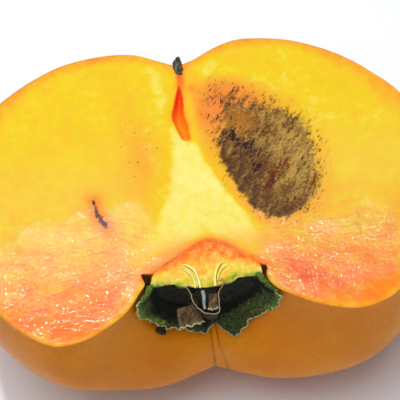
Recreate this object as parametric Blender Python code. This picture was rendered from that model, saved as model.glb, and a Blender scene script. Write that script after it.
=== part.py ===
"""Half of a persimmon, cut lengthwise through its stalk and lying with the cut face up.

Metres, +Z up. The fruit's own axis runs along Y, from the calyx at -Y to the style at +Y, and the
cut face is level. The origin is at the middle of the half's footprint, at its lowest point.
"""

from math import cos, pi, radians, sin

import bmesh
import bpy
import numpy as np
from mathutils import Matrix

MM = 0.001

# Outline of the cut face on each side of the fruit's axis, from the style dimple round to the middle
# of the calyx hollow: distance from the axis and height along it, in mm. Both have the same steps.
OUTLINE_RIGHT = [
    (0, 26.5), (3, 27.3), (7.3, 29.4), (12, 30.4), (19.4, 29.2), (24.9, 26.9), (29.2, 24.3), (33.3, 20.8),
    (38.5, 14.9), (41.4, 7), (42.2, -2), (40.9, -10.5), (37.4, -18.2), (32.5, -23.8), (28.6, -25.8),
    (25.3, -26.3), (22, -25.7), (18, -24.2), (13.9, -21.9), (11.4, -19.3), (10.6, -16.4), (8.2, -14.2),
    (4.6, -11.6), (0, -10.4),
]
OUTLINE_LEFT = [
    (0, 26.5), (3.1, 27.7), (7.6, 29.8), (13.3, 30.4), (20, 29.6), (25.2, 27.6), (29.9, 24.9), (34, 21.6),
    (38.7, 15.8), (41.6, 7.5), (42, -2), (40.5, -10), (37.9, -15.6), (33.2, -21.7), (29.1, -25.1),
    (26, -26.5), (21.6, -26.1), (17.2, -24.1), (13.6, -21.5), (11.3, -18.1), (10.2, -15.6), (7.8, -13.9),
    (4, -11.5), (0, -10.4),
]
OUTLINE_STEPS = 2  # steps of the smooth curve between two outline points
ROUND_STEPS = 36  # steps from the right edge of the cut, under the fruit, to the left edge

# The slice across the axis: a rounded square with two lobes below the cut and a groove between them.
SECTION_POWER = 2.18
DEPTH_SCALE = 0.99
RIGHT_LOBE = {"swell": 0.079, "below_cut": 0.6, "spread": 0.47}
LEFT_LOBE = {"swell": 0.097, "below_cut": 0.4, "spread": 0.43}
STYLE_GROOVE = {"depth": 0.035, "spread": 0.35}
CALYX_GROOVE = {"depth": 0.095, "spread": 0.3}
CREASE = {"depth": 0.02, "spread": 0.06}  # the sharp line at the bottom of the groove
GROOVE_HEIGHTS = (4, -22)  # mm along the axis: where the calyx groove begins, and where it is full
LOBES_STYLE = (0, 10)  # mm from the axis: the dimple is round, and the lobes are full outside it
LOBES_CALYX = (12, 24)
REST_FLAT = 0.45  # mm that the lobes flatten where the half rests

# The empty seed chamber, a teardrop slit on the axis, pointed at the style end.
SLIT_TOP, SLIT_WIDEST, SLIT_BOTTOM = 22.3, 14.6, 11.1
SLIT_HALF_WIDTH, SLIT_DEPTH = 1.45, 4.6
SLIT_POINT = 0.12  # half width just below the pointed top
SLIT_TAPER = (0.35, 0.7)  # places between the point and the widest level
SLIT_SECTIONS = [(-1, 1.05, 1), (0, 1, 1), (0.5, 0.85, 0.93), (1, 0.3, 0.75)]  # depth, width, length

# The calyx half disc and its dried sepals, round the axis. Profiles are distance and height, in mm.
GAP = 0.3
DISC_PROFILE = [
    (0, -10.8), (4.2, -12), (7.8, -14.4), (9.2, -15.9), (9.5, -16.9), (8.9, -17.5), (6.5, -17.8),
    (3.5, -18.3), (0, -18.7),
]
SEPAL_PROFILE = [(8.9, -18.2), (10.1, -18.9), (11, -20.2), (11.9, -21.9)]
SEPAL_THICKNESS = 0.7
SEPAL_STEPS = 22
LEFT_SEPAL_ARC = (radians(-179.2), radians(-97))
RIGHT_SEPAL_ARC = (radians(-86), radians(-0.8))
SEPAL_WAVE = 0.5  # mm that the rim bends in and out
SEPAL_THINNING = 0.4  # share of the thickness lost at the rim
LEFT_SEPAL_WAVES, RIGHT_SEPAL_WAVES = 5, 6  # radians of wave for each radian round the axis

# What is left of the stalk, under the middle of the disc.
SHEATH_CENTRE, SHEATH_TOP, SHEATH_BOTTOM = -0.5, -19.1, -23.7
SHEATH_RADIUS, SHEATH_WALL = 2.2, 0.4
SHEATH_STEPS = 8  # round the axis, and in half a turn of its rounded bottom
CORE = {"centre": (-0.6, -0.4), "base": -22.4, "top": -19.1, "radius": 0.3}
RIGHT_BRACT = {"centre": (0.4, -20.9, -0.75), "size": (0.8, 1.9, 0.3), "tilt": 0.12}
LEFT_BRACT = {"centre": (-3.2, -22.2, -3.5), "size": (3, 3.2, 0.5), "tilt": -0.5}
BRACT_BOW, BRACT_RIDGE = 0.3, 0.15  # mm that the middle stands above the ends, and the midrib above that
BRACT_TAPER = 0.35  # share of the width lost at the ends

# The pits beside the disc where the flesh has torn from the calyx, with a dried crumb in the left one.
LEFT_PIT = {"centre": (-10.9, -15.1), "radius": 1.3}
RIGHT_PIT = {"centre": (11.1, -16), "radius": 0.9}
PIT_STRETCH = (0.9, 1, 1.4)
CRUMB_RADIUS, CRUMB_STRETCH = 0.55, (0.9, 1.1, 0.8)

STYLE_TIP = {"centre": (0, -0.75), "base": 24.7, "top": 28.6, "base_radius": 0.7, "top_radius": 0.25}


def smooth_step(value, start, end):
    part = np.clip((value - start) / (end - start), 0, 1)
    return part * part * (3 - 2 * part)


def bell(angle, spread):
    return np.exp(-((angle / spread) ** 2))


def smooth_curve(points, steps):
    """A Catmull-Rom curve through the points, which end on the fruit's axis and mirror across it."""
    inner = np.array(points, float)
    mirror = np.array([-1, 1])
    knots = np.vstack([inner[1] * mirror, inner, inner[-2] * mirror])
    curve = []
    for before, start, end, after in zip(knots, knots[1:], knots[2:], knots[3:]):
        for t in np.arange(steps) / steps:
            curve.append(
                start
                + 0.5 * (end - before) * t
                + (before - 2.5 * start + 2 * end - 0.5 * after) * t**2
                + 0.5 * (3 * (start - end) + after - before) * t**3
            )
    curve.append(inner[-1])
    return np.array(curve)


def fruit_surface():
    """Points of the rounded outside, in mm, as outline steps by angles from 0 (right) to -pi (left)."""
    angle = np.linspace(0, -pi, ROUND_STEPS + 1)[None, :]
    right, left = smooth_curve(OUTLINE_RIGHT, OUTLINE_STEPS), smooth_curve(OUTLINE_LEFT, OUTLINE_STEPS)
    side = smooth_step(np.cos(angle), -1, 1)
    distance = right[:, :1] * side + left[:, :1] * (1 - side)
    height = right[:, 1:] * side + left[:, 1:] * (1 - side)

    lobed = np.where(
        height > 0, smooth_step(distance, *LOBES_STYLE), smooth_step(distance, *LOBES_CALYX)
    )
    near_calyx = smooth_step(-height, -GROOVE_HEIGHTS[0], -GROOVE_HEIGHTS[1])
    rounded = (np.abs(np.cos(angle)) ** SECTION_POWER + np.abs(np.sin(angle)) ** SECTION_POWER) ** (
        -1 / SECTION_POWER
    )
    swell = 0
    for lobe, centre, at_cut in (
        (RIGHT_LOBE, -RIGHT_LOBE["below_cut"], side),
        (LEFT_LOBE, -pi + LEFT_LOBE["below_cut"], 1 - side),
    ):
        # The swelling starts from nothing at the cut, whose outline stays as it is given.
        start = bell(lobe["below_cut"], lobe["spread"]) * at_cut
        swell = swell + lobe["swell"] * (bell(angle - centre, lobe["spread"]) - start)
    across = angle + pi / 2
    groove = (
        (1 - near_calyx) * STYLE_GROOVE["depth"] * bell(across, STYLE_GROOVE["spread"])
        + near_calyx * CALYX_GROOVE["depth"] * bell(across, CALYX_GROOVE["spread"])
        + near_calyx * CREASE["depth"] * np.exp(-np.abs(across) / CREASE["spread"])
    )
    scale = 1 + lobed * (rounded - 1 + swell - groove)
    x = distance * np.cos(angle) * scale
    y = height * (1 + lobed * near_calyx * (swell - groove))
    z = distance * np.sin(angle) * scale * DEPTH_SCALE
    z[:, [0, -1]] = 0
    return np.stack([x, y, z], axis=-1)


def resting_height(points):
    """The level at which both lobes are cut off flat, a little above the higher lobe's lowest point."""
    middle = points.shape[1] // 2
    return max(points[:, :middle, 2].min(), points[:, middle:, 2].min()) + REST_FLAT


def footprint_shift(points):
    """What brings the middle of the footprint, at the level it rests on, to the origin, in mm."""
    low, high = points.reshape(-1, 3).min(axis=0), points.reshape(-1, 3).max(axis=0)
    return np.array([-(low[0] + high[0]) / 2, -(low[1] + high[1]) / 2, -resting_height(points)])


def make_material(name, color, roughness):
    material = bpy.data.materials.new(name)
    material.use_nodes = True
    shader = material.node_tree.nodes["Principled BSDF"]
    shader.inputs["Base Color"].default_value = (*color, 1)
    shader.inputs["Roughness"].default_value = roughness
    shader.inputs["Metallic"].default_value = 0
    material.diffuse_color = (*color, 1)
    return material


def add_object(name, bm, material=None):
    """A new object of the mesh, whose points are in mm from the fruit's axis at the cut."""
    bmesh.ops.recalc_face_normals(bm, faces=bm.faces)
    mesh = bpy.data.meshes.new(name)
    bm.to_mesh(mesh)
    bm.free()
    for vertex in mesh.vertices:
        vertex.co = vertex.co * MM
    mesh.shade_smooth()
    mesh.set_sharp_from_angle(angle=radians(40))
    obj = bpy.data.objects.new(name, mesh)
    obj.location = [value * MM for value in SHIFT]
    bpy.context.scene.collection.objects.link(obj)
    if material:
        mesh.materials.append(material)
    else:
        obj.hide_render = True
        obj.display_type = "WIRE"
    return obj


def cut(obj, cutter):
    modifier = obj.modifiers.new(cutter.name, "BOOLEAN")
    modifier.operation = "DIFFERENCE"
    modifier.solver = "EXACT"
    modifier.object = cutter


def skin_loops(bm, loops):
    """Joins closed loops of points, each with as many points as the next, and closes both ends."""
    rings = [[bm.verts.new(point) for point in loop] for loop in loops]
    count = len(rings[0])
    for ring, following in zip(rings, rings[1:]):
        for i in range(count):
            bm.faces.new((ring[i], ring[(i + 1) % count], following[(i + 1) % count], following[i]))
    bm.faces.new(rings[0])
    bm.faces.new(rings[-1])


def half_turned(profile, arc=(0, -pi), steps=24):
    """A solid turned from a closed profile, part of the way round the fruit's axis."""
    bm = bmesh.new()
    loops = []
    for angle in np.linspace(*arc, steps + 1):
        loops.append([(r * cos(angle), y, r * sin(angle)) for r, y in profile])
    skin_loops(bm, loops)
    bmesh.ops.remove_doubles(bm, verts=bm.verts, dist=1e-5)
    return bm


def build_fruit(surface):
    bm = bmesh.new()
    rows, columns = surface.shape[:2]
    top = bm.verts.new(surface[0, 0])
    hollow = bm.verts.new(surface[-1, 0])
    grid = [[bm.verts.new(surface[i, j]) for j in range(columns)] for i in range(1, rows - 1)]
    for j in range(columns - 1):
        bm.faces.new((top, grid[0][j], grid[0][j + 1]))
        bm.faces.new((hollow, grid[-1][j + 1], grid[-1][j]))
        for row, following in zip(grid, grid[1:]):
            bm.faces.new((row[j], following[j], following[j + 1], row[j + 1]))
    right_edge = [row[0] for row in grid]
    left_edge = [row[-1] for row in grid]
    bm.faces.new([top, *right_edge, hollow, *reversed(left_edge)])
    bmesh.ops.bisect_plane(
        bm,
        geom=[*bm.verts, *bm.edges, *bm.faces],
        plane_co=(0, 0, resting_height(surface)),
        plane_no=(0, 0, -1),
        clear_outer=True,
    )
    bmesh.ops.holes_fill(bm, edges=bm.edges)
    return add_object("fruit_half", bm, make_material("flesh", (0.9, 0.42, 0.03), 0.35))


def slit_cutter():
    """A teardrop, pointed at the style end and round at the other, that narrows with depth."""
    right = [(SLIT_POINT, SLIT_TOP - GAP)]
    right += [(SLIT_HALF_WIDTH * t, SLIT_TOP + (SLIT_WIDEST - SLIT_TOP) * t) for t in SLIT_TAPER]
    for turn in np.linspace(0, 0.45 * pi, 5):
        right.append((SLIT_HALF_WIDTH * cos(turn), SLIT_WIDEST + (SLIT_BOTTOM - SLIT_WIDEST) * sin(turn)))
    outline = [(0, SLIT_TOP), *right, (0, SLIT_BOTTOM), *((-x, y) for x, y in reversed(right))]
    bm = bmesh.new()
    loops = []
    for depth, width, length in SLIT_SECTIONS:
        loops.append([
            (x * width, SLIT_WIDEST + (y - SLIT_WIDEST) * length, -depth * SLIT_DEPTH) for x, y in outline
        ])
    skin_loops(bm, loops)
    return add_object("slit_cutter", bm)


def cone_along_axis(base, top, base_radius, top_radius, centre=(0, 0), sides=12):
    """A closed cone or rod along the fruit's axis, cut off flat at both ends."""
    bm = bmesh.new()
    loops = []
    for y, radius in ((base, base_radius), (top, top_radius)):
        turn = [2 * pi * i / sides for i in range(sides)]
        loops.append([(centre[0] + radius * cos(a), y, centre[1] + radius * sin(a)) for a in turn])
    skin_loops(bm, loops)
    return bm


def lump(centre, radius, stretch):
    """A small rounded lump, stretched along X, Y and Z."""
    bm = bmesh.new()
    bmesh.ops.create_icosphere(bm, subdivisions=1, radius=radius)
    bmesh.ops.scale(bm, verts=bm.verts, vec=stretch)
    bmesh.ops.translate(bm, verts=bm.verts, vec=centre)
    return bm


def build_calyx_disc():
    bm = half_turned(DISC_PROFILE, steps=20)
    return add_object("calyx_disc", bm, make_material("calyx_flesh", (0.72, 0.68, 0.2), 0.5))


def build_sepal(name, arc, wave_turns, material):
    """A curled leaf that follows the rim of the disc, with a wavy free edge."""
    bm = bmesh.new()
    profile = np.array(SEPAL_PROFILE)
    along = np.gradient(profile, axis=0)
    normal = np.stack([along[:, 1], -along[:, 0]], axis=1)
    normal /= np.linalg.norm(normal, axis=1, keepdims=True)
    reach = np.linspace(0, 1, len(profile))[:, None]
    loops = []
    for angle in np.linspace(*arc, SEPAL_STEPS + 1):
        wave = SEPAL_WAVE * sin(wave_turns * (angle - arc[0])) * reach**2
        thickness = SEPAL_THICKNESS * (1 - SEPAL_THINNING * reach)
        outer = profile + normal * (wave - thickness / 2)
        inner = profile + normal * (wave + thickness / 2)
        loop = [*outer, *inner[::-1]]
        loops.append([(r * cos(angle), y, r * sin(angle)) for r, y in loop])
    skin_loops(bm, loops)
    return add_object(name, bm, material)


def build_stalk_sheath():
    """Half of a thin papery cup, open towards the disc."""
    bm = bmesh.new()
    outer = [(SHEATH_RADIUS, SHEATH_TOP), (SHEATH_RADIUS, SHEATH_BOTTOM + SHEATH_RADIUS)]
    inner_radius = SHEATH_RADIUS - SHEATH_WALL
    inner = [(inner_radius, SHEATH_TOP), (inner_radius, SHEATH_BOTTOM + SHEATH_RADIUS)]
    for i in range(1, SHEATH_STEPS // 2):
        turn = i * pi / SHEATH_STEPS
        outer.append((SHEATH_RADIUS * cos(turn), SHEATH_BOTTOM + SHEATH_RADIUS * (1 - sin(turn))))
        inner.append((inner_radius * cos(turn), SHEATH_BOTTOM + SHEATH_RADIUS - inner_radius * sin(turn)))
    outer.append((0, SHEATH_BOTTOM))
    inner.append((0, SHEATH_BOTTOM + SHEATH_WALL))
    profile = [*outer, *reversed(inner)]
    loops = []
    for angle in np.linspace(0, -pi, SHEATH_STEPS + 1):
        loops.append([(SHEATH_CENTRE + r * cos(angle), y, r * sin(angle)) for r, y in profile])
    skin_loops(bm, loops)
    bmesh.ops.remove_doubles(bm, verts=bm.verts, dist=1e-5)
    return add_object("stalk_sheath", bm, make_material("papery", (0.5, 0.42, 0.2), 0.8))


def build_bract(name, centre, size, tilt, material):
    """A small dried plate, bowed and narrower at its ends, turned about the vertical by tilt."""
    bm = bmesh.new()
    width, length, thickness = size
    loops = []
    for t in np.linspace(-1, 1, 6):
        half = width / 2 * (1 - BRACT_TAPER * t**2)
        top = BRACT_BOW * (1 - t**2)
        bottom = top - thickness
        loops.append([
            (x, t * length / 2, z)
            for x, z in ((-half, top), (0, top + BRACT_RIDGE), (half, top), (half, bottom), (-half, bottom))
        ])
    skin_loops(bm, loops)
    bmesh.ops.rotate(bm, verts=bm.verts, matrix=Matrix.Rotation(tilt, 3, "Z"))
    bmesh.ops.translate(bm, verts=bm.verts, vec=centre)
    return add_object(name, bm, material)


for old in list(bpy.data.objects):
    bpy.data.objects.remove(old, do_unlink=True)

surface_points = fruit_surface()
SHIFT = footprint_shift(surface_points)

fruit = build_fruit(surface_points)
cut(fruit, slit_cutter())
tip = STYLE_TIP
room = tip["base_radius"] + GAP
recess = cone_along_axis(tip["base"] - GAP, tip["top"], room, room, tip["centre"])
cut(fruit, add_object("style_recess", recess))
for pit_name, pit in (("left_pit_cutter", LEFT_PIT), ("right_pit_cutter", RIGHT_PIT)):
    cut(fruit, add_object(pit_name, lump((*pit["centre"], 0), pit["radius"], PIT_STRETCH)))

spike = cone_along_axis(tip["base"], tip["top"], tip["base_radius"], tip["top_radius"], tip["centre"])
add_object("style_tip", spike, make_material("dried_style", (0.12, 0.11, 0.08), 0.8))

build_calyx_disc()
sepal_material = make_material("sepal", (0.06, 0.1, 0.03), 0.7)
build_sepal("sepal_left", LEFT_SEPAL_ARC, LEFT_SEPAL_WAVES, sepal_material)
build_sepal("sepal_right", RIGHT_SEPAL_ARC, RIGHT_SEPAL_WAVES, sepal_material)

build_stalk_sheath()
strand = cone_along_axis(CORE["base"], CORE["top"], CORE["radius"], CORE["radius"], CORE["centre"], sides=8)
add_object("stalk_core", strand, make_material("pale_strand", (0.62, 0.58, 0.42), 0.6))
dried = make_material("dried_bract", (0.2, 0.12, 0.05), 0.8)
build_bract("bract_right", material=dried, **RIGHT_BRACT)
build_bract("bract_left", material=dried, **LEFT_BRACT)
crumb_centre = (*LEFT_PIT["centre"], -CRUMB_RADIUS)
add_object("pit_scrap", lump(crumb_centre, CRUMB_RADIUS, CRUMB_STRETCH), dried)
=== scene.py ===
"""The looks of the persimmon half: cut flesh, skin, calyx, dried sepals and stalk, camera and lights."""

from math import cos, pi, radians, sin

import bmesh
import bpy
import numpy as np
from mathutils import Matrix, Vector
from mathutils.noise import noise as noise_vector
from mathutils.geometry import delaunay_2d_cdt


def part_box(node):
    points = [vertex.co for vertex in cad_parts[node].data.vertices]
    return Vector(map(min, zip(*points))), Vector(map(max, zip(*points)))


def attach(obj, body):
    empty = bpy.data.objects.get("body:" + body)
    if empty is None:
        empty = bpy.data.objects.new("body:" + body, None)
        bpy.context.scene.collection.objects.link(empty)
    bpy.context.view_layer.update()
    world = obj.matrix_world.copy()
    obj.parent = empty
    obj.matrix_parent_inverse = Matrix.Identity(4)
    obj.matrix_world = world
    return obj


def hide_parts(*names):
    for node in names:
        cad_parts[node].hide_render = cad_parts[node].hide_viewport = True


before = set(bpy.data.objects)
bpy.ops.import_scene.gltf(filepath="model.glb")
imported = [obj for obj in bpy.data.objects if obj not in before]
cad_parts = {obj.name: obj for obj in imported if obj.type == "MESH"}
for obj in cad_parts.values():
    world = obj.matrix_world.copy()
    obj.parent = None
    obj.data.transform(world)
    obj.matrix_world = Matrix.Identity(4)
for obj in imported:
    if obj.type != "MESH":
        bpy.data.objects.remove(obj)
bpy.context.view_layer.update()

MM = 0.001
RNG = np.random.default_rng(7)

# ---------------------------------------------------------------- the fruit's shape
# Everything below is in mm from the fruit's axis at the cut, as in the CAD model: x to the right,
# y along the axis from the calyx to the style, z up. place() moves it to the frame.

OUTLINE_RIGHT = [
    (0, 26.5), (3, 27.3), (7.3, 29.4), (12, 30.4), (19.4, 29.2), (24.9, 26.9), (29.2, 24.3), (33.3, 20.8),
    (38.5, 14.9), (41.4, 7), (42.2, -2), (40.9, -10.5), (37.4, -18.2), (32.5, -23.8), (28.6, -25.8),
    (25.3, -26.3), (22, -25.7), (18, -24.2), (13.9, -21.9), (11.6, -20.1), (10.6, -18), (10.8, -16.2),
    (9.7, -15.6), (7.4, -13.9), (4.2, -11.4), (1.5, -10.5), (0, -10.4),
]
OUTLINE_LEFT = [
    (0, 26.5), (3.1, 27.7), (7.6, 29.8), (13.3, 30.4), (20, 29.6), (25.2, 27.6), (29.9, 24.9), (34, 21.6),
    (38.7, 15.8), (41.6, 7.5), (42, -2), (40.5, -10), (37.9, -15.6), (33.2, -21.7), (29.1, -25.1),
    (26, -26.5), (21.6, -26.1), (17.2, -24.1), (13.6, -21.5), (11.2, -18.3), (10.2, -16.8), (10.6, -14.9),
    (8.6, -15), (6.4, -13.7), (3.2, -11.8), (1.3, -11), (0, -10.4),
]
SECTION_POWER = 2.18
DEPTH_SCALE = 0.99
RIGHT_LOBE = {"swell": 0.079, "below_cut": 0.6, "spread": 0.47}
LEFT_LOBE = {"swell": 0.097, "below_cut": 0.4, "spread": 0.43}
STYLE_GROOVE = {"depth": 0.035, "spread": 0.35}
CALYX_GROOVE = {"depth": 0.095, "spread": 0.3}
CREASE = {"depth": 0.02, "spread": 0.06}
GROOVE_HEIGHTS = (4, -22)
LOBES_STYLE = (0, 10)
LOBES_CALYX = (12, 24)

SLIT = [
    (-0.2, 22.2), (-1.1, 19.9), (-1.9, 17.2), (-2.2, 15.7), (-1.9, 14.3), (-1.3, 12.4), (-0.8, 11),
    (0, 10.6), (0.7, 10.9), (0.6, 12.4), (0.6, 13.9), (0.1, 16), (0.2, 19.6),
]


def smooth_step(value, start, end):
    part = np.clip((value - start) / (end - start), 0, 1)
    return part * part * (3 - 2 * part)


def bell(value, spread):
    return np.exp(-((value / spread) ** 2))


def smooth_curve(points, steps, closed=False, mirror=False):
    """A Catmull-Rom curve through the points; with mirror, its ends lie on the axis and mirror across it."""
    inner = np.array(points, float)
    if closed:
        knots = np.vstack([inner[-1], inner, inner[:2]])
    elif mirror:
        flip = np.array([-1, 1])
        knots = np.vstack([inner[1] * flip, inner, inner[-2] * flip])
    else:
        knots = np.vstack([2 * inner[0] - inner[1], inner, 2 * inner[-1] - inner[-2]])
    curve = []
    for before, start, end, after in zip(knots, knots[1:], knots[2:], knots[3:]):
        for t in np.arange(steps) / steps:
            curve.append(
                start
                + 0.5 * (end - before) * t
                + (before - 2.5 * start + 2 * end - 0.5 * after) * t**2
                + 0.5 * (3 * (start - end) + after - before) * t**3
            )
    if not closed:
        curve.append(inner[-1])
    return np.array(curve)


def lobed_surface(right, left, steps, round_steps):
    """The rounded outside, as outline steps by angles from 0 (right) to -pi (left)."""
    angle = np.linspace(0, -pi, round_steps + 1)[None, :]
    right = smooth_curve(right, steps, mirror=True)
    left = smooth_curve(left, steps, mirror=True)
    side = smooth_step(np.cos(angle), -1, 1)
    distance = right[:, :1] * side + left[:, :1] * (1 - side)
    height = right[:, 1:] * side + left[:, 1:] * (1 - side)
    lobed = np.where(
        height > 0, smooth_step(distance, *LOBES_STYLE), smooth_step(distance, *LOBES_CALYX)
    )
    near_calyx = smooth_step(-height, -GROOVE_HEIGHTS[0], -GROOVE_HEIGHTS[1])
    rounded = (np.abs(np.cos(angle)) ** SECTION_POWER + np.abs(np.sin(angle)) ** SECTION_POWER) ** (
        -1 / SECTION_POWER
    )
    swell = 0
    for lobe, centre, at_cut in (
        (RIGHT_LOBE, -RIGHT_LOBE["below_cut"], side),
        (LEFT_LOBE, -pi + LEFT_LOBE["below_cut"], 1 - side),
    ):
        start = bell(lobe["below_cut"], lobe["spread"]) * at_cut
        swell = swell + lobe["swell"] * (bell(angle - centre, lobe["spread"]) - start)
    across = angle + pi / 2
    groove = (
        (1 - near_calyx) * STYLE_GROOVE["depth"] * bell(across, STYLE_GROOVE["spread"])
        + near_calyx * CALYX_GROOVE["depth"] * bell(across, CALYX_GROOVE["spread"])
        + near_calyx * CREASE["depth"] * np.exp(-np.abs(across) / CREASE["spread"])
    )
    scale = 1 + lobed * (rounded - 1 + swell - groove)
    points = np.stack([
        distance * np.cos(angle) * scale,
        height * (1 + lobed * near_calyx * (swell - groove)),
        distance * np.sin(angle) * scale * DEPTH_SCALE,
    ], axis=-1)
    points[:, [0, -1], 2] = 0
    return points


FRUIT_LOW, FRUIT_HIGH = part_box("fruit_half")
surface = lobed_surface(OUTLINE_RIGHT, OUTLINE_LEFT, 7, 168)
surface_low, surface_high = surface.reshape(-1, 3).min(axis=0), surface.reshape(-1, 3).max(axis=0)
ORIGIN = np.array([
    (FRUIT_LOW[0] + FRUIT_HIGH[0]) / 2 - MM * (surface_low[0] + surface_high[0]) / 2,
    (FRUIT_LOW[1] + FRUIT_HIGH[1]) / 2 - MM * (surface_low[1] + surface_high[1]) / 2,
    FRUIT_HIGH[2],
])
REST = (FRUIT_LOW[2] - FRUIT_HIGH[2]) / MM
surface[..., 2] = np.maximum(surface[..., 2], REST)


def distance_to_loop(points, loop):
    """Shortest distance from each point to a closed loop, both in the cut plane."""
    best = np.full(len(points), 1e9)
    for start, end in zip(loop, np.roll(loop, -1, axis=0)):
        along = end - start
        length = max((along**2).sum(), 1e-12)
        t = np.clip(((points - start) @ along) / length, 0, 1)
        best = np.minimum(best, np.hypot(*(points - start - t[:, None] * along).T))
    return best


def inside_loop(points, loop):
    inside = np.zeros(len(points), bool)
    for (x0, y0), (x1, y1) in zip(loop, np.roll(loop, -1, axis=0)):
        crosses = (y0 > points[:, 1]) != (y1 > points[:, 1])
        at = x0 + (points[:, 1] - y0) * (x1 - x0) / (y1 - y0 if y1 != y0 else 1e-12)
        inside ^= crosses & (points[:, 0] < at)
    return inside


def hex_grid(low, high, spacing):
    rows = np.arange(low[1], high[1], spacing * 0.866)
    points = []
    for i, y in enumerate(rows):
        xs = np.arange(low[0] + (i % 2) * spacing / 2, high[0], spacing)
        points.append(np.stack([xs, np.full(len(xs), y)], axis=1))
    points = np.vstack(points)
    return points + RNG.uniform(-0.12, 0.12, points.shape) * spacing


def fill_loop(loop, spacing, fine=(), inner_loops=()):
    """Triangles over a closed loop in the cut plane, denser inside the fine circles (centre, radius, spacing)."""
    loop = np.asarray(loop)
    low, high = loop.min(axis=0), loop.max(axis=0)
    base = hex_grid(low, high, spacing)
    spread = np.full(len(base), spacing)
    for centre, radius, close in fine:
        keep = np.hypot(*(base - centre).T) > radius
        base, spread = base[keep], spread[keep]
        centre = np.asarray(centre)
        patch = hex_grid(centre - radius, centre + radius, close)
        patch = patch[np.hypot(*(patch - centre).T) <= radius]
        base, spread = np.vstack([base, patch]), np.r_[spread, np.full(len(patch), close)]
    keep = inside_loop(base, loop)
    base, spread = base[keep], spread[keep]
    keep = distance_to_loop(base, loop) > 0.45 * spread
    base, spread = base[keep], spread[keep]
    for inner in inner_loops:
        keep = distance_to_loop(base, inner) > 0.3 * spread
        base, spread = base[keep], spread[keep]
    coords = [*loop]
    edges = [(i, (i + 1) % len(loop)) for i in range(len(loop))]
    for inner in inner_loops:
        start = len(coords)
        coords += [*inner]
        edges += [(start + i, start + (i + 1) % len(inner)) for i in range(len(inner))]
    coords += [*base]
    points, _, faces, origins, _, _ = delaunay_2d_cdt([Vector(p) for p in coords], edges, [], 1, 1e-7)
    names = [source[0] if source else -1 for source in origins]
    return np.array([tuple(p) for p in points]), faces, names


# ---------------------------------------------------------------- objects
def place(points):
    return np.asarray(points, float) * MM + ORIGIN


def make_piece(name, points, faces, materials, node_names, attributes=None, face_materials=None):
    """A piece in the frame from points in mm, with its shading attributes, riding on the root body."""
    mesh = bpy.data.meshes.new(name)
    mesh.from_pydata([tuple(p) for p in place(points)], [], [tuple(f) for f in faces])
    mesh.validate()
    mesh.shade_smooth()
    for material in materials:
        mesh.materials.append(material)
    if face_materials is not None:
        mesh.polygons.foreach_set("material_index", np.asarray(face_materials, np.int32))
    spot = mesh.attributes.new("spot", "FLOAT_VECTOR", "POINT")
    spot.data.foreach_set("vector", np.asarray(points, np.float32).ravel())
    for key, values in (attributes or {}).items():
        layer = mesh.attributes.new(key, "FLOAT", "POINT")
        layer.data.foreach_set("value", np.asarray(values, np.float32))
    obj = bpy.data.objects.new(name, mesh)
    bpy.context.scene.collection.objects.link(obj)
    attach(obj, "root")
    if node_names:
        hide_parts(*node_names)
    return obj


# ---------------------------------------------------------------- materials
def linear(hex_color):
    """A colour such as "f0d428", as seen on screen, in the linear values that shaders take."""
    values = [int(hex_color[i : i + 2], 16) / 255 for i in (0, 2, 4)]
    return (*(v / 12.92 if v <= 0.04045 else ((v + 0.055) / 1.055) ** 2.4 for v in values), 1)


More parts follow.
